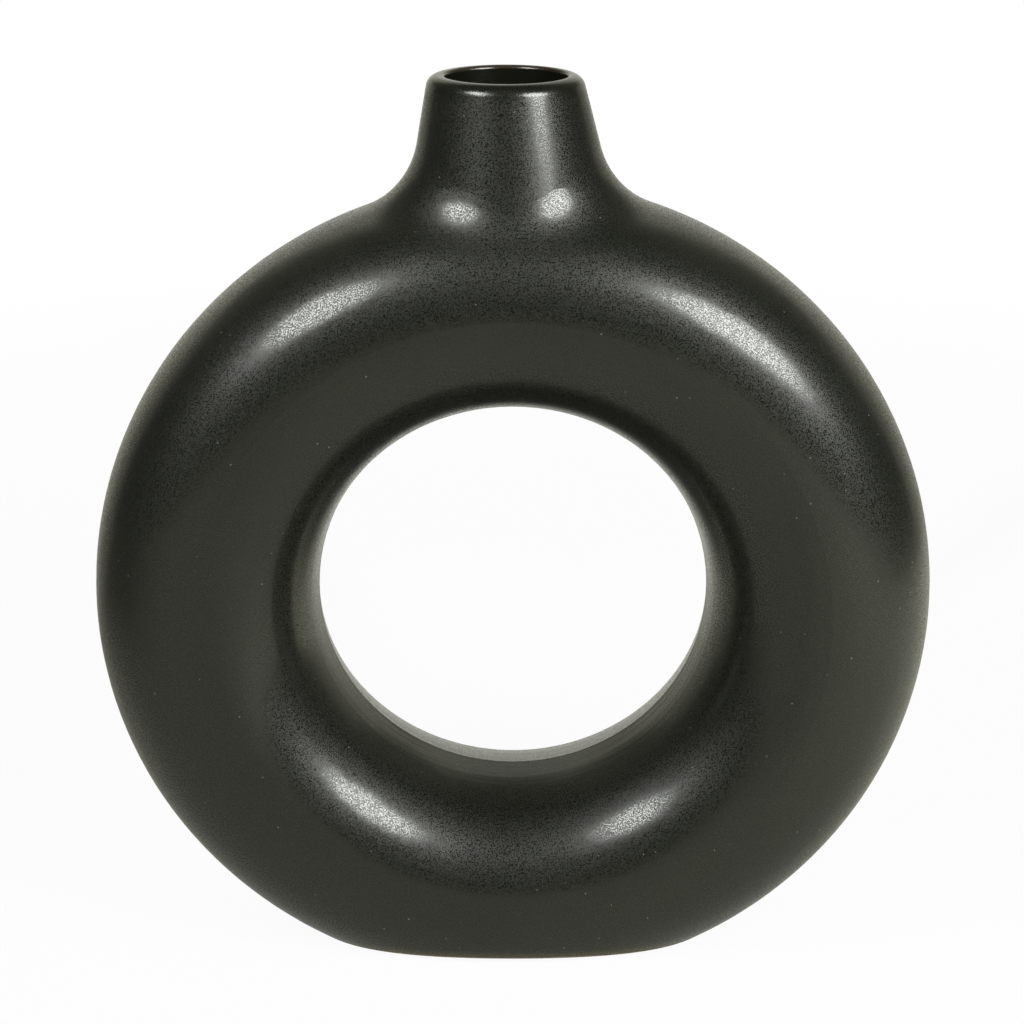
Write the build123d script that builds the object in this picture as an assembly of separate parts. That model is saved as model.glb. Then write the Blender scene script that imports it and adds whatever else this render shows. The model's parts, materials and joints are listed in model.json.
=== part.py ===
from build123d import *
import os
from math import cos, radians, sin, tan

# A vase shaped as an upright ring with a short neck on its crown. The ring is hollow and was
# pressed in two halves that are luted together at its middle plane. The neck was luted on
# afterwards and opens into the ring. Four soft pads lie under the flat foot.
# Lengths are in millimetres. X runs across the ring, Y from front to back, +Z is up, and the
# origin is the middle of the surface that the pads stand on.

# The ring
ring_width = 250.0
ring_depth = 82.0
hole_width = 116.6
wall = 4.6
belly_share = 0.512          # where the ring is deepest, on the way from the hole to the rim
sag_share = 0.98             # the ring settled a little in the kiln: its height over its width
rim_fullness_share = 0.64    # how full the section is outside the belly: 0.55 is an ellipse
eye_fullness_share = 0.607   # and inside it, towards the hole
crease_angle = 3.0           # the slope at which each half meets the seam inside the hole

# The neck
neck_height = 31.6           # from the ring's crown to the top of the lip
mouth_width = 35.4
throat_length = 6.0          # the straight part of the bore, under the lip
throat_flare = 4.0           # the height in which the bore widens below it
neck_base_share = 0.708      # how much of the ring's depth the neck spans at the crown
neck_lean = 2.6              # the neck's middle line leans left by this angle, its lip is level
neck_shift = 0.8             # how far left of the ring's middle it stands at the crown
neck_root = 14.0             # how far the neck's form runs into the ring, below the crown
joint_rise = 3.0             # the joint of neck and ring, above the crown
shoulder_share = 0.8         # the shoulder's radius, over the width of the ring outside its belly
lip_round_radius = 3.8
lip_edge_radius = 1.0

# The foot
foot_cut = 16.5              # how much of the ring's lowest part the flat foot takes away
foot_edge_radius = 1.2
pad_diameter = 9.0
pad_thickness = 1.5
pad_across_share = 0.6       # each pad's middle, on the way from the foot's middle to its end
pad_deep_share = 0.55        # and on the way to its front or back edge

overrun = 20.0               # how far a cutting block runs past what it cuts

ring_radius = ring_width / 2
hole_radius = hole_width / 2
belly_radius = hole_radius + belly_share * (ring_radius - hole_radius)
shoulder_radius = shoulder_share * (ring_radius - belly_radius)
crown_height = ring_radius * sag_share
mouth_radius = mouth_width / 2
lip_height = crown_height + neck_height
joint_height = crown_height + joint_rise
throat_height = lip_height - lip_edge_radius - throat_length
neck_slope = (neck_base_share * ring_depth / 2 - mouth_radius - wall) / neck_height
lean_slope = tan(radians(neck_lean))
foot_height = foot_cut - crown_height
stand = pad_thickness - foot_height


def middle_of_neck(height):
    """Where the neck's middle line is across the ring, at a height above the ring's centre."""
    return -neck_shift - lean_slope * (height - crown_height)


def lean(form):
    """Push an upright form about Z over to the neck's middle line, with every level kept."""
    push = Matrix([
        [1, 0, -lean_slope, middle_of_neck(0)],
        [0, 1, 0, 0],
        [0, 0, 1, 0],
    ])
    return form.transform_geometry(push)


def half_turned(points):
    """The back half of what an outline in the middle plane makes when it turns about Z."""
    outline = make_face(Polyline(*points, close=True))
    return revolve(Plane.XZ * outline, axis=Axis.Z, revolution_arc=180).solid()


def half_ring(inset):
    """The back half of the ring's form, drawn in from the outer skin by an inset."""
    rim = ring_radius - inset
    eye = hole_radius + inset
    deep = ring_depth / 2 - inset
    rim_handle = rim_fullness_share * deep
    eye_handle = eye_fullness_share * deep
    crease = radians(crease_angle)
    to_rim = Bezier(
        (belly_radius, deep),
        (belly_radius + rim_fullness_share * (rim - belly_radius), deep),
        (rim, rim_handle),
        (rim, 0),
    )
    to_eye = Bezier(
        (belly_radius, deep),
        (belly_radius - eye_fullness_share * (belly_radius - eye), deep),
        (eye + eye_handle * sin(crease), eye_handle * cos(crease)),
        (eye, 0),
    )
    section = make_face([to_rim, Line((rim, 0), (eye, 0)), to_eye])
    ring = revolve(section, axis=Axis.Y, revolution_arc=360)
    return scale(ring, by=(1, 1, sag_share)).solid()


def block(height, above):
    """A block that takes in all that is above a height, or else all that is below it."""
    box = Box(
        ring_width + overrun,
        ring_depth + overrun,
        ring_width + neck_height,
        align=(Align.CENTER, Align.CENTER, Align.MIN if above else Align.MAX),
    )
    return Pos(0, 0, height) * box


def blend_shoulder(form, low, radius):
    """Round the inner corner where the neck's side runs into the ring."""
    corner = form.edges().filter_by(
        lambda edge: low < edge.bounding_box().min.Z
        and edge.bounding_box().max.Z < joint_height
        and edge.bounding_box().max.Y > wall
    )
    return form.fillet(radius, corner)


def outer_half():
    """The back half of the vase as a solid form, with the lip's outer side rounded."""
    low = crown_height - neck_root
    lip_outer = mouth_radius + wall
    cone = half_turned([
        (0, low),
        (lip_outer + neck_slope * (lip_height - low), low),
        (lip_outer, lip_height),
        (0, lip_height),
    ])
    lip = cone.edges().filter_by(GeomType.CIRCLE).sort_by(Axis.Z)[-1]
    cone = cone.fillet(lip_round_radius, [lip])
    form = half_ring(0).fuse(lean(cone)).solid()
    return blend_shoulder(form, low, shoulder_radius)


def inner_half():
    """The back half of the hollow, from under the throat down into the ring."""
    low = (ring_radius - wall) * sag_share - neck_root
    flare_height = throat_height - throat_flare
    cone = half_turned([
        (0, low),
        (mouth_radius + neck_slope * (lip_height - low), low),
        (mouth_radius + neck_slope * (lip_height - flare_height), flare_height),
        (mouth_radius, throat_height),
        (0, throat_height),
    ])
    form = half_ring(wall).fuse(lean(cone)).solid()
    return blend_shoulder(form, low, shoulder_radius + wall)


def throat():
    """The bore through the lip, upright, with the lip's rounded inner edge."""
    edge_height = lip_height - lip_edge_radius
    outline = make_face([
        Polyline(
            (mouth_radius, edge_height),
            (mouth_radius, throat_height),
            (0, throat_height),
            (0, lip_height + overrun),
            (mouth_radius + lip_edge_radius, lip_height + overrun),
            (mouth_radius + lip_edge_radius, lip_height),
        ),
        RadiusArc(
            (mouth_radius + lip_edge_radius, lip_height),
            (mouth_radius, edge_height),
            -lip_edge_radius,
        ),
    ])
    bore = revolve(Plane.XZ * outline, axis=Axis.Z)
    return Pos(middle_of_neck(throat_height), 0, 0) * bore


def whole(half):
    """Both halves of a form as one."""
    return (half + mirror(half, about=Plane.XZ)).solid()


def vase():
    """The fired vase as one form: skin, hollow, mouth and foot."""
    skin = (whole(outer_half()) - block(foot_height, False)).solid()
    foot = skin.faces().sort_by(Axis.Z)[0]
    skin = skin.fillet(foot_edge_radius, foot.edges())
    hollow = whole(inner_half()) - block(foot_height + wall, False)
    return (skin - hollow - throat()).solid()


def neck(form):
    """The neck, cut level where it was luted to the ring."""
    return (form & block(joint_height, True)).solid()


def shell(form, side):
    """One half of the ring, in front of the seam or behind it."""
    half_space = Box(
        ring_width + overrun,
        ring_depth + overrun,
        ring_width + overrun,
        align=(Align.CENTER, side, Align.CENTER),
    )
    return (form & block(joint_height, False) & half_space).solid()


def pad(foot, left, front):
    """One soft round pad under the foot."""
    reach = foot.bounding_box().max
    across = pad_across_share * reach.X
    deep = pad_deep_share * reach.Y
    disc = Cylinder(
        pad_diameter / 2,
        pad_thickness,
        align=(Align.CENTER, Align.CENTER, Align.MAX),
    )
    return Pos(-across if left else across, -deep if front else deep, foot_height) * disc


form = vase()
foot = form.faces().sort_by(Axis.Z)[0]
pieces = {
    "front_shell": shell(form, Align.MAX),
    "back_shell": shell(form, Align.MIN),
    "neck": neck(form),
    "pad_front_left": pad(foot, True, True),
    "pad_front_right": pad(foot, False, True),
    "pad_back_left": pad(foot, True, False),
    "pad_back_right": pad(foot, False, False),
}

os.makedirs("parts", exist_ok=True)
for name, piece in pieces.items():
    export_step(Pos(0, 0, stand) * piece, f"parts/{name}.step")
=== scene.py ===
import json
import math

import bmesh
import bpy
from mathutils import Matrix, Vector, noise


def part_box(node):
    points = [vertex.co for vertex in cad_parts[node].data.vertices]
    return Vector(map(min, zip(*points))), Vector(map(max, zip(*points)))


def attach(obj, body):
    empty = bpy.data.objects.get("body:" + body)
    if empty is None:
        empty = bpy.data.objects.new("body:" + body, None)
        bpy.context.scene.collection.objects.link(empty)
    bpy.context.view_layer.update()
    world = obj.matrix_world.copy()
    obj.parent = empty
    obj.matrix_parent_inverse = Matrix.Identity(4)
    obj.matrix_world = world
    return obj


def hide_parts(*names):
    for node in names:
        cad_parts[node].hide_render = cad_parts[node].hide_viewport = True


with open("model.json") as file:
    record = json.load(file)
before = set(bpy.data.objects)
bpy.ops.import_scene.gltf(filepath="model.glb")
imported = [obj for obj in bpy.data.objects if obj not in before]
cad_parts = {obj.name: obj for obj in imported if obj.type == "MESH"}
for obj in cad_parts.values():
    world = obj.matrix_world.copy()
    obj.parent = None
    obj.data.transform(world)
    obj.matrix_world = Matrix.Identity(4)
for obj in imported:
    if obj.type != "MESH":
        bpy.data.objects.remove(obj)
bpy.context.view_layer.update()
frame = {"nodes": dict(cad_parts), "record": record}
scene = bpy.context.scene
scene.view_settings.view_transform = "Standard"
print("the vase's frame is in")

# x runs across the ring, y to the back, z up, all in metres
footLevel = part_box("front_shell")[0].z
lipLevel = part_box("neck")[1].z
mouth = next(m for m in frame["record"]["mounts"] if m["name"] == "mouth")
mouthX = mouth["pos_m"][0]
mouthRadius = mouth["dims"]["r_mm"] / 1000
ringCentre = 0.1075                         # height of the middle of the ring's hole


# short ways to place shader nodes: a value may be a number, a colour or another node's output
def setSocket(tree, socket, value):
    if isinstance(value, bpy.types.NodeSocket):
        tree.links.new(value, socket)
    elif value is not None:
        socket.default_value = value


def addNode(tree, kind, place, **values):
    node = tree.nodes.new("ShaderNode" + kind)
    node.location = place
    for name, value in values.items():
        setSocket(tree, node.inputs[name.replace("_", " ")], value)
    return node


def calc(tree, operation, place, *values):
    node = tree.nodes.new("ShaderNodeMath")
    node.operation = operation
    node.location = place
    for socket, value in zip(node.inputs, values):
        setSocket(tree, socket, value)
    return node.outputs[0]


def ramp(tree, place, value, low, high, start=0.0, end=1.0):
    # runs smoothly from start to end while the value goes from low to high
    node = tree.nodes.new("ShaderNodeMapRange")
    node.interpolation_type = "SMOOTHSTEP"
    node.location = place
    inputs = {"Value": value, "From Min": low, "From Max": high, "To Min": start, "To Max": end}
    for name, given in inputs.items():
        setSocket(tree, node.inputs[name], given)
    return node.outputs["Result"]


def reachOf(tree, place, first, second):
    # how far a point is from where both coordinates are nought
    x, y = place
    square = calc(tree, "MULTIPLY", (x - 300, y), first, first)
    both = calc(tree, "MULTIPLY_ADD", (x - 150, y), second, second, square)
    return calc(tree, "SQRT", place, both)


def mixColour(tree, place, amount, first, second):
    node = tree.nodes.new("ShaderNodeMix")
    node.data_type = "RGBA"
    node.location = place
    inputs = node.inputs[0], node.inputs[6], node.inputs[7]
    for socket, value in zip(inputs, (amount, first, second)):
        setSocket(tree, socket, value)
    return node.outputs[2]


def startMaterial(name):
    material = bpy.data.materials.new(name)
    material.use_nodes = True
    material.node_tree.nodes.clear()
    return material, material.node_tree


def startGroup(name, inputs, outputs):
    # every input but the vector is a number and has a usual value
    tree = bpy.data.node_groups.new(name, "ShaderNodeTree")
    for label, value in inputs.items():
        kind = "NodeSocketVector" if value is None else "NodeSocketFloat"
        socket = tree.interface.new_socket(label, in_out="INPUT", socket_type=kind)
        if value is not None:
            socket.default_value = value
    for label in outputs:
        tree.interface.new_socket(label, in_out="OUTPUT", socket_type="NodeSocketFloat")
    start = tree.nodes.new("NodeGroupInput")
    start.location = (-900, 0)
    end = tree.nodes.new("NodeGroupOutput")
    end.location = (700, 0)
    return tree, start.outputs, end.inputs


def useGroup(tree, group, place, **values):
    node = tree.nodes.new("ShaderNodeGroup")
    node.node_tree = group
    node.location = place
    for name, value in values.items():
        setSocket(tree, node.inputs[name], value)
    return node.outputs


# fine grain: a crawl of tiny bumps, and the share of them that stands out as matt spots
def makeGrain():
    tree, given, out = startGroup(
        "grain", {"Vector": None, "Size": 0.0005, "Level": 0.5, "Soft": 0.05}, ["Height", "Spots"])
    scale = calc(tree, "DIVIDE", (-680, 100), 1.0, given["Size"])
    bumps = addNode(
        tree, "TexNoise", (-450, 150), Vector=given["Vector"], Scale=scale, Detail=1.0, Roughness=0.6)
    low = calc(tree, "SUBTRACT", (-450, -100), given["Level"], given["Soft"])
    high = calc(tree, "ADD", (-450, -250), given["Level"], given["Soft"])
    setSocket(tree, out["Height"], bumps.outputs["Fac"])
    setSocket(tree, out["Spots"], ramp(tree, (-100, -100), bumps.outputs["Fac"], low, high))
    return tree


# sparse specks, such as dust and burst bubbles; each cell of the pattern may hold one
def makeSpecks():
    tree, given, out = startGroup(
        "specks", {"Vector": None, "Spacing": 0.006, "Width": 0.0003, "Share": 0.2}, ["Mask"])
    scale = calc(tree, "DIVIDE", (-680, 100), 1.0, given["Spacing"])
    cells = addNode(tree, "TexVoronoi", (-450, 100), Vector=given["Vector"], Scale=scale)
    reach = calc(tree, "DIVIDE", (-450, -200), given["Width"], given["Spacing"])
    near = calc(tree, "LESS_THAN", (-150, 150), cells.outputs["Distance"], reach)
    chance = addNode(tree, "SeparateColor", (-200, -50), Color=cells.outputs["Color"])
    chosen = calc(tree, "LESS_THAN", (50, -50), chance.outputs[0], given["Share"])
    setSocket(tree, out["Mask"], calc(tree, "MULTIPLY", (300, 50), near, chosen))
    return tree


# slow cloudy change, for colour
def makeClouds():
    tree, given, out = startGroup("clouds", {"Vector": None, "Size": 0.03}, ["Value"])
    scale = calc(tree, "DIVIDE", (-680, 100), 1.0, given["Size"])
    cloud = addNode(
        tree, "TexNoise", (-450, 100), Vector=given["Vector"], Scale=scale, Detail=3.0, Roughness=0.55)
    setSocket(tree, out["Value"], ramp(tree, (-150, 100), cloud.outputs["Fac"], 0.3, 0.7))
    return tree


grainGroup = makeGrain()
specksGroup = makeSpecks()
cloudsGroup = makeClouds()

# the bare foot, where the clay shows
foot = {
    "stop": 0.0006,                           # how far above the foot's plane the glaze ends
    "stopSoft": 0.0003,
    "wanderSize": 0.00625,                    # it ends on an uneven line
    "wanderDepth": 0.0006,
    "thin": (0.050, 0.043, 0.018, 1),         # olive where it thins out above the bare clay
    "thinReach": 0.0030,
    "clay": (0.23, 0.165, 0.11, 1),
    "clayDark": (0.15, 0.10, 0.065, 1),
    "cloudSize": 0.014,
    "cloudShare": 0.45,
    "sandSize": 0.00045,
    "sandLevel": 0.5,
    "sandSoft": 0.16,
    "sandShare": 0.55,
    "sandDepth": 0.00004,
    "grog": (0.075, 0.045, 0.028, 1),         # dark bits in it
    "grogSpacing": 0.0022,
    "grogWidth": 0.00032,
    "grogShare": 0.5,
    "roughness": 0.85,
}


def footMasks(tree, place, level):
    size = foot["wanderSize"]
    wander = addNode(tree, "TexNoise", (-1100, -700), Vector=place, Scale=1 / size, Detail=2.0)
    depth = foot["wanderDepth"]
    uneven = calc(tree, "MULTIPLY_ADD", (-900, -700), wander.outputs["Fac"], -depth, level)
    stop = footLevel + foot["stop"] - depth / 2
    bare = ramp(tree, (-700, -700), uneven, stop, stop + foot["stopSoft"], 1.0, 0.0)
    thin = ramp(tree, (-700, -500), uneven, stop, stop + foot["thinReach"], 1.0, 0.0)
    return bare, thin


def clayLook(tree, place):
    clouds = useGroup(tree, cloudsGroup, (-800, 850), Vector=place, Size=foot["cloudSize"])
    sand = useGroup(
        tree, grainGroup, (-800, 650), Vector=place, Size=foot["sandSize"], Level=foot["sandLevel"],
        Soft=foot["sandSoft"])
    grog = useGroup(
        tree, specksGroup, (-800, 1050), Vector=place, Spacing=foot["grogSpacing"],
        Width=foot["grogWidth"], Share=foot["grogShare"])
    cloudy = calc(tree, "MULTIPLY", (-600, 850), clouds["Value"], foot["cloudShare"])
    sandy = calc(tree, "MULTIPLY_ADD", (-450, 700), sand["Spots"], foot["sandShare"], cloudy)
    clay = mixColour(tree, (-250, 700), sandy, foot["clayDark"], foot["clay"])
    clay = mixColour(tree, (-50, 800), grog["Mask"], clay, foot["grog"])
    return clay, sand["Height"]


# the lip and the bore; each zone is two depths under the lip's top
lip = {
    "edgeWidth": 0.0005,                      # the inner edge, where the glaze runs thin
    "edgeZone": (0.0012, 0.0003),
    "edgeShare": 0.35,
    "broken": (0.085, 0.048, 0.026, 1),       # and brown
    "bore": (0.0058, 0.0062, 0.0034, 1),
    "boreRim": (0.0001, 0.0008),              # distances past the bore over which it ends
    "boreZone": (0.05, 0.04),
    "boreDark": (0.0035, 0.001),
    "zone": (0.0055, 0.002),
    "smooth": 0.8,                            # the rounded lip holds less of the grain
}


def lipMasks(tree, axes):
    def below(place, zone, start=0.0, end=1.0):
        deep, shallow = lip[zone]
        return ramp(tree, place, axes["Z"], lipLevel - deep, lipLevel - shallow, start, end)

    besideAxis = calc(tree, "SUBTRACT", (-1200, -950), axes["X"], mouthX)
    fromAxis = reachOf(tree, (-700, -950), besideAxis, axes["Y"])
    edgeMiddle = mouthRadius + lip["edgeWidth"] / 2
    beside = calc(tree, "SUBTRACT", (-500, -950), fromAxis, edgeMiddle)
    fromEdge = calc(tree, "ABSOLUTE", (-350, -950), beside)
    nearEdge = ramp(tree, (-150, -950), fromEdge, 0.0, lip["edgeWidth"], 1.0, 0.0)
    edge = calc(tree, "MULTIPLY", (50, -950), nearEdge, below((-350, -1150), "edgeZone"))
    near, far = lip["boreRim"]
    within = ramp(tree, (-150, -1300), fromAxis, mouthRadius + near, mouthRadius + far, 1.0, 0.0)
    bore = calc(tree, "MULTIPLY", (50, -1300), within, below((-350, -1400), "boreZone"))
    darkBore = calc(tree, "MULTIPLY", (250, -1300), bore, below((50, -1450), "boreDark", 1.0, 0.0))
    rounded = below((50, -1650), "zone", 0.0, lip["smooth"])
    return edge, bore, darkBore, rounded


# the luted seam inside the ring's hole was scraped smooth, in fine lines
seam = {
    "within": 0.075,                          # no farther than this from the hole's middle
    "reach": 0.018,                           # scraped this far to each side
    "smooth": 0.35,                           # how much of the grain the scraping took away
    "lineWidth": 0.0030,
    "lineRuns": 12,                           # how many a metre, along the seam
    "lineDepth": 0.00015,
    "flat": 0.008,                            # left flat this far, so the seam is a crisp line
    "bend": 9.0,                              # one over the radius, in metres, that was flattened
}


def seamLook(tree, place, axes):
    level = calc(tree, "SUBTRACT", (-1200, -1750), axes["Z"], ringCentre)
    fromMiddle = reachOf(tree, (-700, -1750), level, axes["X"])
    inHole = calc(tree, "LESS_THAN", (-500, -1750), fromMiddle, seam["within"])
    fromSeam = calc(tree, "ABSOLUTE", (-700, -1900), axes["Y"])
    beside = ramp(tree, (-500, -1900), fromSeam, seam["reach"] / 2, seam["reach"], 1.0, 0.0)
    scraped = calc(tree, "MULTIPLY", (-300, -1800), inHole, beside)
    runs = seam["lineRuns"]
    stretch = addNode(
        tree, "Mapping", (-1100, -2150), Vector=place, Scale=(runs, 1 / seam["lineWidth"], runs))
    lines = addNode(
        tree, "TexNoise", (-900, -2150), Vector=stretch.outputs[0], Scale=1.0, Detail=2.0, Roughness=0.6)
    depth = calc(tree, "MULTIPLY", (-300, -2000), lines.outputs["Fac"], seam["lineDepth"])
    scrape = calc(tree, "MULTIPLY", (-100, -1950), depth, scraped)
    left = calc(tree, "SUBTRACT", (-500, -2200), seam["flat"], fromSeam)
    flat = calc(tree, "MAXIMUM", (-350, -2200), left, 0.0)
    square = calc(tree, "MULTIPLY", (-200, -2200), flat, flat)
    rise = calc(tree, "MULTIPLY", (-50, -2200), square, seam["bend"] / 2)
    ridge = calc(tree, "MULTIPLY", (100, -2150), rise, inHole)
    return scraped, calc(tree, "ADD", (250, -2000), scrape, ridge)


glaze = {
    "deep": (0.0043, 0.0051, 0.0024, 1),      # where it lies thick
    "light": (0.0070, 0.0080, 0.0043, 1),     # where it clouds
    "cloudSize": 0.032,
    "speck": (0.19, 0.18, 0.155, 1),
    "dustSpacing": 0.0035,
    "dustWidth": 0.0002,
    "dust": 0.26,                             # share of the places that hold a speck
    "dustLow": 0.5,                           # and near the foot
    "dustZone": (0.012, 0.04),                # heights between the two
    "grainSize": 0.00036,                     # matt spots crowd a glossy ground
    "grainLevel": 0.48,
    "grainSoft": 0.035,
    "grainDepth": 0.00001,
    "spotDark": 0.3,
    "glossRoughness": 0.18,
    "spotRoughness": 0.45,
    "mouthShare": 0.7,                        # what lip and bore lose of the spots
    "waveSize": 0.007,
    "waveDepth": 0.00003,
    "ior": 1.68,                              # iron-rich glass, brighter than a window's
    "mirrorTint": (0.975, 1.0, 0.885, 1),
}


def makeGlaze():
    material, tree = startMaterial("satinBlackGlaze")
    place = addNode(tree, "TexCoord", (-1500, 0)).outputs["Object"]
    axes = addNode(tree, "SeparateXYZ", (-1500, -500), Vector=place).outputs
    bareFoot, thinFoot = footMasks(tree, place, axes["Z"])
    edge, bore, darkBore, rounded = lipMasks(tree, axes)
    scraped, scrape = seamLook(tree, place, axes)
    clay, sand = clayLook(tree, place)
    clouds = useGroup(tree, cloudsGroup, (-1200, 400), Vector=place, Size=glaze["cloudSize"])
    grain = useGroup(
        tree, grainGroup, (-1200, 150), Vector=place, Size=glaze["grainSize"],
        Level=glaze["grainLevel"], Soft=glaze["grainSoft"])
    share = ramp(tree, (-1400, -50), axes["Z"], *glaze["dustZone"], glaze["dustLow"], glaze["dust"])
    dust = useGroup(
        tree, specksGroup, (-1200, -50), Vector=place, Spacing=glaze["dustSpacing"],
        Width=glaze["dustWidth"], Share=share)
    wave = addNode(tree, "TexNoise", (-1200, -250), Vector=place, Scale=1 / glaze["waveSize"], Detail=2.0)

    # each layer of colour covers what lies under it where its mask is one
    sunk = calc(tree, "MULTIPLY", (-800, 250), grain["Spots"], glaze["spotDark"])
    worn = calc(tree, "MULTIPLY", (-600, 250), edge, lip["edgeShare"])
    layers = (
        (sunk, glaze["deep"]),
        (worn, lip["broken"]),
        (darkBore, lip["bore"]),
        (thinFoot, foot["thin"]),
        (dust["Mask"], glaze["speck"]),
        (bareFoot, clay),
    )
    colour = mixColour(tree, (-800, 400), clouds["Value"], glaze["deep"], glaze["light"])
    for order, (mask, layer) in enumerate(layers):
        colour = mixColour(tree, (-600 + 170 * order, 450), mask, colour, layer)

    # spots are fewest on the lip, in the bore and along the seam
    mouthPart = calc(tree, "MAXIMUM", (-800, 50), bore, rounded)
    crowd = calc(tree, "MULTIPLY_ADD", (-650, 50), mouthPart, -glaze["mouthShare"], 1.0)
    crowd = calc(tree, "MULTIPLY_ADD", (-500, 50), scraped, -seam["smooth"], crowd)
    spots = calc(tree, "MULTIPLY", (-350, 100), grain["Spots"], crowd)
    matter = glaze["spotRoughness"] - glaze["glossRoughness"]
    gloss = calc(tree, "MULTIPLY_ADD", (-200, 100), spots, matter, glaze["glossRoughness"])
    drier = calc(tree, "SUBTRACT", (50, 100), foot["roughness"], gloss)
    roughness = calc(tree, "MULTIPLY_ADD", (250, 150), bareFoot, drier, gloss)

    height = calc(tree, "MULTIPLY_ADD", (50, -250), wave.outputs["Fac"], glaze["waveDepth"], scrape)
    height = calc(tree, "MULTIPLY_ADD", (200, -250), grain["Height"], glaze["grainDepth"], height)
    bareSand = calc(tree, "MULTIPLY", (50, -450), sand, bareFoot)
    height = calc(tree, "MULTIPLY_ADD", (350, -350), bareSand, foot["sandDepth"], height)
    bumps = addNode(tree, "Bump", (500, -250), Strength=1.0, Distance=1.0, Height=height)
    surface = addNode(
        tree, "BsdfPrincipled", (700, 200), Base_Color=colour, Roughness=roughness, IOR=glaze["ior"],
        Specular_Tint=glaze["mirrorTint"], Normal=bumps.outputs[0])
    addNode(tree, "OutputMaterial", (1000, 200), Surface=surface.outputs[0])
    return material


glazeMaterial = makeGlaze()
for nodeName in ("front_shell", "back_shell", "neck"):
    clayPiece = frame["nodes"][nodeName]
    clayPiece.data.materials.clear()
    clayPiece.data.materials.append(glazeMaterial)
print("the clay pieces are glazed")

felt = {
    "charcoal": (0.020, 0.019, 0.018, 1),
    "ash": (0.075, 0.072, 0.068, 1),
    "fibre": 0.00035,
    "cloudSize": 0.0015,
    "cloudShare": 0.4,
    "lintSpacing": 0.0016,
    "lintWidth": 0.00012,
    "lintShare": 0.3,
    "roughness": 0.95,
    "sheen": 0.4,
    "sheenRoughness": 0.6,
    "nap": 0.00016,
    "tuftSize": 0.00105,
    "edge": 0.00035,                          # how far the cut edge is rounded
    "sides": 56,
    "rings": 5,
}


def makeFeltMaterial():
    material, tree = startMaterial("charcoalFelt")
    place = addNode(tree, "TexCoord", (-1100, 0)).outputs["Object"]
    grain = useGroup(tree, grainGroup, (-800, 200), Vector=place, Size=felt["fibre"])
    clouds = useGroup(tree, cloudsGroup, (-800, -50), Vector=place, Size=felt["cloudSize"])
    lint = useGroup(
        tree, specksGroup, (-800, -250), Vector=place, Spacing=felt["lintSpacing"],
        Width=felt["lintWidth"], Share=felt["lintShare"])
    hairs = ramp(tree, (-500, 200), grain["Height"], 0.3, 0.7)
    colour = mixColour(tree, (-250, 200), hairs, felt["charcoal"], felt["ash"])
    darker = calc(tree, "MULTIPLY", (-250, 0), clouds["Value"], felt["cloudShare"])
    colour = mixColour(tree, (-50, 200), darker, colour, felt["charcoal"])
    colour = mixColour(tree, (150, 200), lint["Mask"], colour, felt["ash"])
    bumps = addNode(tree, "Bump", (150, -200), Strength=1.0, Distance=felt["nap"], Height=grain["Height"])
    surface = addNode(
        tree, "BsdfPrincipled", (400, 200), Base_Color=colour, Roughness=felt["roughness"],
        Normal=bumps.outputs[0], Sheen_Weight=felt["sheen"], Sheen_Roughness=felt["sheenRoughness"])
    addNode(tree, "OutputMaterial", (700, 200), Surface=surface.outputs[0])
    return material


# a disc punched from felt: soft cut edge, crowded nap, no taller or wider than the solid pad
def makeFeltPad(node):
    low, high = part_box(node)
    centre = (low + high) / 2
    nap = felt["nap"]
    radius = (high.x - low.x) / 2 - nap
    bm = bmesh.new()
    disc = bmesh.ops.create_circle(bm, cap_ends=True, segments=felt["sides"], radius=radius)
    bmesh.ops.translate(bm, verts=disc["verts"], vec=(centre.x, centre.y, low.z + nap / 2))
    raised = bmesh.ops.extrude_face_region(bm, geom=bm.faces[:], use_keep_orig=True)
    top = [v for v in raised["geom"] if isinstance(v, bmesh.types.BMVert)]
    bmesh.ops.translate(bm, verts=top, vec=(0, 0, high.z - low.z - nap))
    rims = [e for e in bm.edges if abs(e.verts[0].co.z - e.verts[1].co.z) < nap / 4]
    bmesh.ops.bevel(bm, geom=rims, offset=felt["edge"], affect="EDGES", segments=3, profile=0.5, material=-1)
    for ring in range(felt["rings"]):
        caps = [f for f in bm.faces if len(f.verts) > 4]
        bmesh.ops.inset_region(bm, faces=caps, thickness=radius / (felt["rings"] + 2))
    bmesh.ops.recalc_face_normals(bm, faces=bm.faces[:])
    bm.normal_update()
    for vert in bm.verts:
        vert.co += vert.normal * noise.noise(vert.co / felt["tuftSize"]) * nap / 2
    mesh = bpy.data.meshes.new(node + "_felt")
    bm.to_mesh(mesh)
    bm.free()
    mesh.shade_smooth()
    pad = bpy.data.objects.new(node + "_felt", mesh)
    scene.collection.objects.link(pad)
    return pad


feltMaterial = makeFeltMaterial()
for nodeName in ("pad_front_left", "pad_front_right", "pad_back_left", "pad_back_right"):
    pad = makeFeltPad(nodeName)
    pad.data.materials.append(feltMaterial)
    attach(pad, "root")
    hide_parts(nodeName)
print("the felt pads are under the foot")

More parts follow.
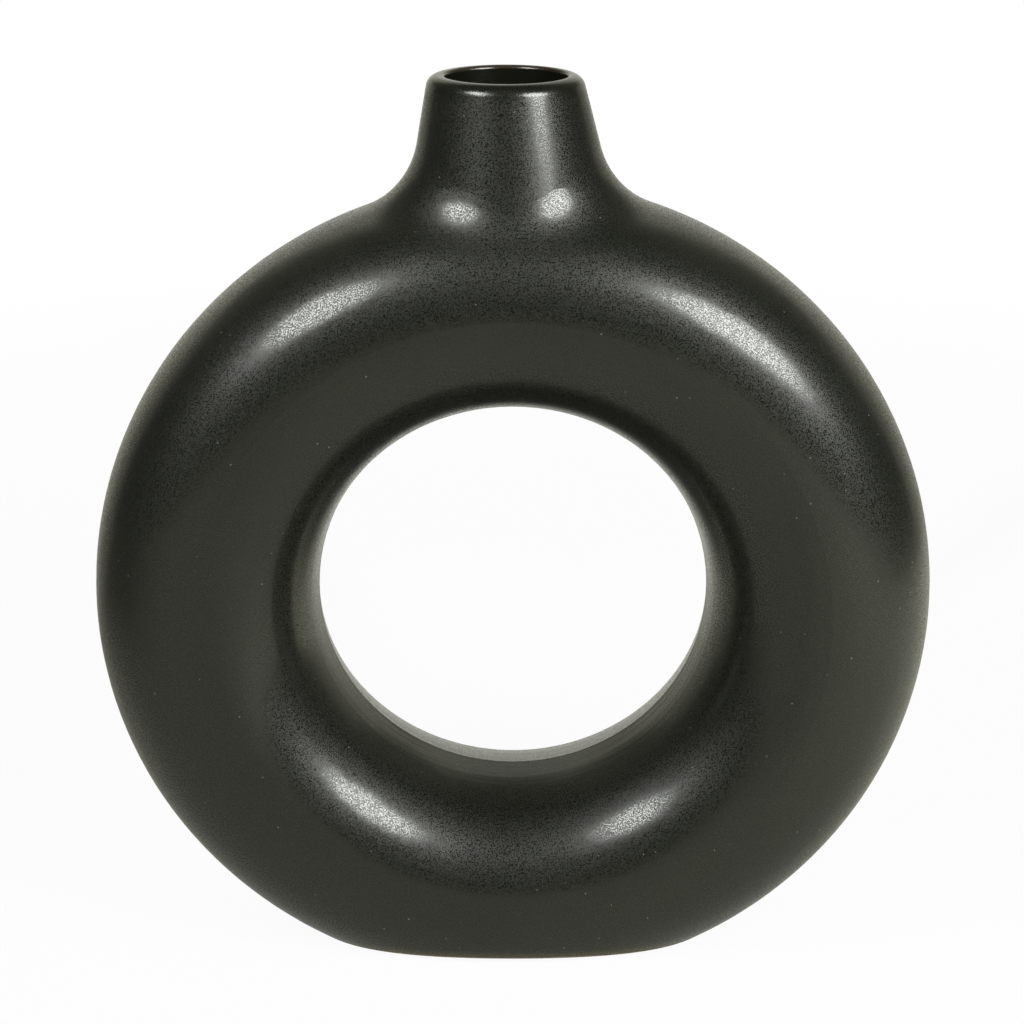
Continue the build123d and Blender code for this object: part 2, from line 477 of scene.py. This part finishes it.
# a pale floor that sweeps up behind the vase; angles are degrees from straight behind it
sweep = {
    "reach": 1.8,
    "wallHeight": 2.6,
    "bend": 0.5,
    "wallTurn": 110,               # how far round the wall goes, both sides together
    "middle": 0.02,                # the floor's small middle disc
    "floorSteps": 96,
    "wallSteps": 48,
    "bendSteps": 8,
    "wallRows": 4,
    "paper": (0.80, 0.80, 0.79, 1),
    "glow": 0.95,                  # the share of the camera's white that isn't lit by the lamps
    "shadowReach": (0.35, 1.1),    # past this the camera sees nothing but white
    "wedge": (-5, 90),             # the paper's painted reflection is white from behind, and fades over this
    "upper": (0.6, 0.9),           # heights between which the wall's painted reflection dims, a painted shade
    "upperTone": 0.67,
    "upperWedge": (20, 42),
    "top": (1.3, 2.5),             # and over which it fades out above that, painted shade too
    "topTone": 0.15,
    "mirrored": 0.49,              # how light the glaze finds the paper in front of the vase, a painted reflection
    "mirroredRight": 0.52,         # and how much lighter to the right, painted light
    "rightward": (-0.05, 0.45),
    "mirroredFar": 0.14,           # out at the sides, darker, painted shade
    "farReach": (0.15, 0.55),
    "farShift": 0.35,              # starting this much farther out to the right
    "frontWedge": (90, 150),       # and not in front
    "shade": 0.95,                 # painted shadow: just behind the vase the mirrored floor is darkened as if in the vase's shadow
    "shadeReach": (0.15, 0.25),
    "shadeWedge": (25, 52),
    "frontTint": (1.0, 1.0, 0.90, 1),
    "sideTint": (1.0, 0.99, 0.83, 1),
    "sideWedge": (60, 110),
    "backTint": (1.0, 1.0, 0.90, 1),
    "backWedge": (5, 38),
}


def paintedReflectionTone(tree, axes, turn, away):
    # painted reflection: for mirror rays the paper glows white from behind the vase, with painted shade
    # elsewhere and painted light to the right
    wedge = ramp(tree, (-1000, -100), turn, *sweep["wedge"], 1.0, 0.0)
    upper = ramp(tree, (-1000, 100), turn, *sweep["upperWedge"], sweep["upperTone"], 0.0)
    risen = ramp(tree, (-1000, 300), axes["Z"], *sweep["upper"])
    behind = addNode(tree, "Mix", (-700, 50), Factor=risen, A=wedge, B=upper).outputs[0]
    fading = ramp(tree, (-700, 300), axes["Z"], *sweep["top"], 1.0, sweep["topTone"])
    behind = calc(tree, "MULTIPLY", (-500, 50), behind, fading)

    rightward = ramp(tree, (-1400, -800), axes["X"], *sweep["rightward"])
    shifted = calc(tree, "MULTIPLY_ADD", (-1200, -600), rightward, -sweep["farShift"], away)
    far = ramp(tree, (-1000, -550), shifted, *sweep["farReach"])
    front = ramp(tree, (-1000, -300), turn, *sweep["frontWedge"])
    beside = calc(tree, "SUBTRACT", (-800, -350), 1.0, front)
    sideFar = calc(tree, "MULTIPLY", (-600, -450), far, beside)
    near = calc(tree, "MULTIPLY_ADD", (-600, -650), rightward, sweep["mirroredRight"], sweep["mirrored"])
    dim = addNode(tree, "Mix", (-400, -500), Factor=sideFar, A=near, B=sweep["mirroredFar"]).outputs[0]
    tone = calc(tree, "MAXIMUM", (-250, -300), dim, behind)

    # painted shadow of the vase on the mirrored floor just behind it
    close = ramp(tree, (-700, -1100), away, *sweep["shadeReach"], sweep["shade"], 0.0)
    backward = ramp(tree, (-700, -1350), turn, *sweep["shadeWedge"], 1.0, 0.0)
    shade = calc(tree, "MULTIPLY", (-500, -1100), close, backward)
    lit = calc(tree, "SUBTRACT", (-350, -1100), 1.0, shade)
    return calc(tree, "MULTIPLY", (-100, -300), tone, lit)


def makePaper():
    material, tree = startMaterial("palePaper")
    place = addNode(tree, "TexCoord", (-2100, -200)).outputs["Object"]
    axes = addNode(tree, "SeparateXYZ", (-1900, -200), Vector=place).outputs
    rays = addNode(tree, "LightPath", (-300, 600)).outputs
    away = reachOf(tree, (-1350, -450), axes["X"], axes["Y"])
    signed = calc(tree, "ARCTAN2", (-1500, -150), axes["X"], axes["Y"])
    radians = calc(tree, "ABSOLUTE", (-1350, -150), signed)
    turn = calc(tree, "DEGREES", (-1200, -150), radians)

    # the camera sees white all over, and the vase's shadow near it
    matte = addNode(tree, "BsdfDiffuse", (300, 0), Color=sweep["paper"])
    white = addNode(tree, "Emission", (300, 150), Color=(1, 1, 1, 1), Strength=1.0)
    seen = calc(tree, "MAXIMUM", (0, 500), rays["Is Camera Ray"], rays["Is Transmission Ray"])
    glow = ramp(tree, (0, 800), away, *sweep["shadowReach"], sweep["glow"], 1.0)
    shown = addNode(tree, "MixShader", (550, 200), Fac=calc(tree, "MULTIPLY", (300, 400), seen, glow))
    setSocket(tree, shown.inputs[1], matte.outputs[0])
    setSocket(tree, shown.inputs[2], white.outputs[0])

    # the glaze's mirror rays see the paper as a painted reflection, toned and tinted by direction
    toSide = ramp(tree, (-400, -800), turn, *sweep["sideWedge"], 1.0, 0.0)
    toBack = ramp(tree, (-400, -1050), turn, *sweep["backWedge"], 1.0, 0.0)
    tint = mixColour(tree, (-150, -600), toSide, sweep["frontTint"], sweep["sideTint"])
    tint = mixColour(tree, (50, -600), toBack, tint, sweep["backTint"])
    tone = paintedReflectionTone(tree, axes, turn, away)
    mirrored = addNode(tree, "Emission", (300, -200), Color=tint, Strength=tone)
    both = addNode(tree, "MixShader", (800, 100), Fac=rays["Is Glossy Ray"])
    setSocket(tree, both.inputs[1], shown.outputs[0])
    setSocket(tree, both.inputs[2], mirrored.outputs[0])
    addNode(tree, "OutputMaterial", (1050, 100), Surface=both.outputs[0])
    return material


def makeSweep():
    reach, bend, height = sweep["reach"], sweep["bend"], sweep["wallHeight"]
    half = math.radians(sweep["wallTurn"]) / 2
    axis = {"cent": (0, 0, 0), "axis": (0, 0, 1)}
    bm = bmesh.new()

    def corner(radius, z):
        return bm.verts.new((math.sin(-half) * radius, math.cos(-half) * radius, z))

    spoke = [corner(sweep["middle"], 0), corner(reach - bend, 0)]
    spoke.append(bm.edges.new(spoke))
    bmesh.ops.spin(bm, geom=spoke, angle=math.tau, steps=sweep["floorSteps"], use_merge=True, **axis)
    inner = [e for e in bm.edges if e.is_boundary and e.verts[0].co.length < reach / 2]
    bmesh.ops.contextual_create(bm, geom=inner)
    outline = []
    for step in range(sweep["bendSteps"] + 1):
        turn = math.pi / 2 * step / sweep["bendSteps"]
        outline.append(corner(reach - bend + bend * math.sin(turn), bend - bend * math.cos(turn)))
    for row in range(sweep["wallRows"]):
        outline.append(corner(reach, bend + (height - bend) * (row + 1) / sweep["wallRows"]))
    profile = outline + [bm.edges.new(pair) for pair in zip(outline, outline[1:])]
    bmesh.ops.spin(bm, geom=profile, angle=-2 * half, steps=sweep["wallSteps"], **axis)
    bmesh.ops.remove_doubles(bm, verts=bm.verts[:], dist=0.0005)
    bmesh.ops.recalc_face_normals(bm, faces=bm.faces[:])
    mesh = bpy.data.meshes.new("paperSweep")
    bm.to_mesh(mesh)
    bm.free()
    mesh.shade_smooth()
    piece = bpy.data.objects.new("paperSweep", mesh)
    scene.collection.objects.link(piece)
    piece.data.materials.append(makePaper())
    return piece


makeSweep()

# two soft boxes, a dim card in front and a dim panel overhead
studio = {
    "aim": (0, 0, 0.13),
    "lampColour": (1.0, 0.99, 1.06),
    "room": 0.08,                  # the air's strength around the vase
    "roomColour": (0.97, 1.0, 0.9, 1),
    "lamps": {
        # name: (shape, degrees to the right, degrees up, distance, width, height, roll, watts)
        "softBoxLeft": ("ELLIPSE", -45.5, 39.3, 1.1, 0.57, 0.39, -31, 7.0),
        "softBoxRight": ("ELLIPSE", 46.3, 32.3, 1.1, 0.60, 0.50, -12, 11.3),
        "dimCard": ("RECTANGLE", 4, 28, 1.9, 1.3, 1.3, 0, 0.15),
        "overhead": ("RECTANGLE", 0, 66, 1.5, 1.9, 0.6, 0, 0.2),
    },
}


def hangLamp(name, shape, right, up, distance, width, height, roll, watts):
    lamp = bpy.data.lights.new(name, "AREA")
    lamp.shape = shape
    lamp.size = width
    lamp.size_y = height
    lamp.energy = watts
    lamp.color = studio["lampColour"]
    holder = bpy.data.objects.new(name, lamp)
    scene.collection.objects.link(holder)
    holder.visible_camera = False
    side, lift = math.radians(right), math.radians(up)
    away = Vector((math.sin(side) * math.cos(lift), -math.cos(side) * math.cos(lift), math.sin(lift)))
    holder.location = Vector(studio["aim"]) + away * distance
    facing = (-away).to_track_quat("-Z", "Y").to_matrix()
    holder.rotation_euler = (facing @ Matrix.Rotation(math.radians(roll), 3, "Z")).to_euler()


for name, setting in studio["lamps"].items():
    hangLamp(name, *setting)

# the room is dim around the vase, and white where the camera looks past the paper
world = bpy.data.worlds.new("dimStudio")
world.use_nodes = True
room = world.node_tree
air = room.nodes["Background"]
rays = addNode(room, "LightPath", (-700, 200)).outputs
seen = calc(room, "MAXIMUM", (-450, 200), rays["Is Camera Ray"], rays["Is Transmission Ray"])
shade = mixColour(room, (-200, 0), seen, studio["roomColour"], (1, 1, 1, 1))
strength = addNode(room, "Mix", (-200, 250), Factor=seen, A=studio["room"], B=1.0).outputs[0]
setSocket(room, air.inputs["Color"], shade)
setSocket(room, air.inputs["Strength"], strength)
scene.world = world

camera = {
    "place": (0.0, -0.86274, 0.39028),
    "looking": (-0.0003, 0.9575, -0.2884),
    "pixels": 3007.6,              # the focal length in pixels of a picture 1024 wide
    "wide": 1024,
    "sensor": 36,
}
lens = bpy.data.cameras.new("camera")
lens.sensor_width = camera["sensor"]
lens.lens = camera["pixels"] / camera["wide"] * camera["sensor"]
eye = bpy.data.objects.new("camera", lens)
scene.collection.objects.link(eye)
eye.location = camera["place"]
eye.rotation_euler = Vector(camera["looking"]).to_track_quat("-Z", "Y").to_euler()
scene.camera = eye
print("the studio and camera stand")
